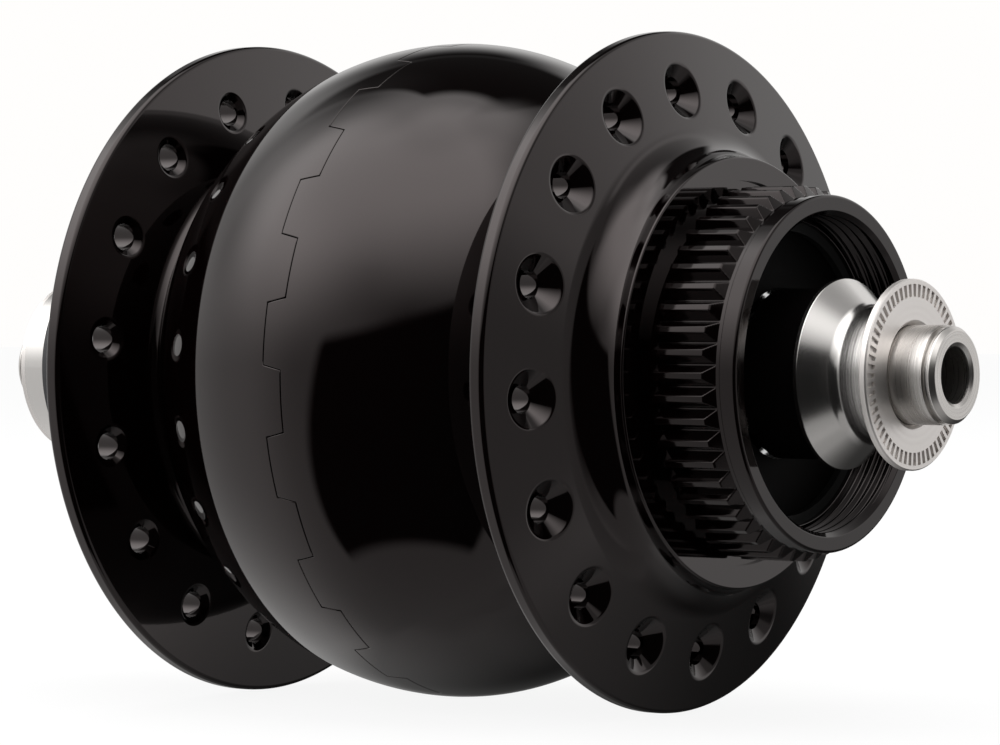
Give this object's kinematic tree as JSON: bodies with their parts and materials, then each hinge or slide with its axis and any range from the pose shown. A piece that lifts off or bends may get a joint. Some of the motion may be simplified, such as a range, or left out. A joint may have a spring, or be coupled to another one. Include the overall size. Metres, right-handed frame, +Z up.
{
  "type": "hub dynamo",
  "caption": "Quick-release front hub dynamo with a round black barrel, two spoke flanges, a splined disc mount and a steel axle.",
  "frame": {"origin": "middle of the hub on the axle's line, halfway between the two locking faces", "axes": "+Y along the axle towards the brake-disc side, +X level, away from the terminal block, +Z up"},
  "size_m": [0.0642, 0.1088, 0.0642],
  "materials": {
    "steel": "turned and threaded steel",
    "steel_plain": "plain turned steel",
    "cap_steel": "finely turned stainless steel",
    "washer_steel": "serrated stainless steel",
    "nut_steel": "turned steel",
    "bearing_steel": "ground and polished steel",
    "ball_steel": "polished steel",
    "cage_steel": "pressed sheet steel",
    "spring_steel": "dark spring steel",
    "core_iron": "bare soft iron",
    "plate_steel": "stamped sheet steel",
    "magnet_dark": "dark sintered magnet",
    "copper_wire": "lacquered copper winding",
    "bobbin_plastic": "moulded plastic",
    "wire_cover": "insulated wire",
    "block_plastic": "black moulded plastic",
    "blade_brass": "tinned brass",
    "seal_rubber": "black rubber",
    "shield_dark": "dark shield",
    "shell_black": "high-gloss black on aluminium"
  },
  "bodies": {
    "stator": {"axle": "steel", "core_sleeve": "core_iron", "pole_plate_disc": "plate_steel", "pole_plate_drive": "plate_steel", "bobbin": "bobbin_plastic", "coil": "copper_wire", "stator_nut": "nut_steel", "spacer_disc": "steel_plain", "spacer_drive": "steel_plain", "inner_ring_disc": "bearing_steel", "inner_ring_drive": "bearing_steel", "end_cap": "cap_steel", "washer_disc": "washer_steel", "washer_drive": "washer_steel", "lock_nut": "nut_steel", "seal_sleeve": "steel_plain", "terminal_block": "block_plastic", "terminal_blades": "blade_brass", "lead_wires": "wire_cover"},
    "shell": {"shell_disc_side": "shell_black", "shell_drive_side": "shell_black", "flux_ring": "core_iron", "magnets": "magnet_dark", "outer_ring_disc": "bearing_steel", "outer_ring_drive": "bearing_steel", "shields_disc": "shield_dark", "shields_drive": "shield_dark", "seal_disc": "seal_rubber", "seal_drive": "seal_rubber", "snap_ring": "spring_steel"},
    "ball_set_disc": {"cage_disc": "cage_steel", "balls_disc": "ball_steel"},
    "ball_set_drive": {"cage_drive": "cage_steel", "balls_drive": "ball_steel"}
  },
  "joints": [
    {"name": "shell_spin", "type": "hinge", "parent": "stator", "child": "shell", "pos_m": [0, 0, 0], "axis": [0, 1, 0], "continuous": true},
    {"name": "ball_set_disc_spin", "type": "hinge", "parent": "stator", "child": "ball_set_disc", "pos_m": [0, 0.0302, 0], "axis": [0, 1, 0], "continuous": true},
    {"name": "ball_set_drive_spin", "type": "hinge", "parent": "stator", "child": "ball_set_drive", "pos_m": [0, -0.0302, 0], "axis": [0, 1, 0], "continuous": true}
  ],
  "couplings": [
    {"joint": "ball_set_disc_spin", "follows": "shell_spin", "ratio": 0.619},
    {"joint": "ball_set_drive_spin", "follows": "shell_spin", "ratio": 0.619}
  ]
}
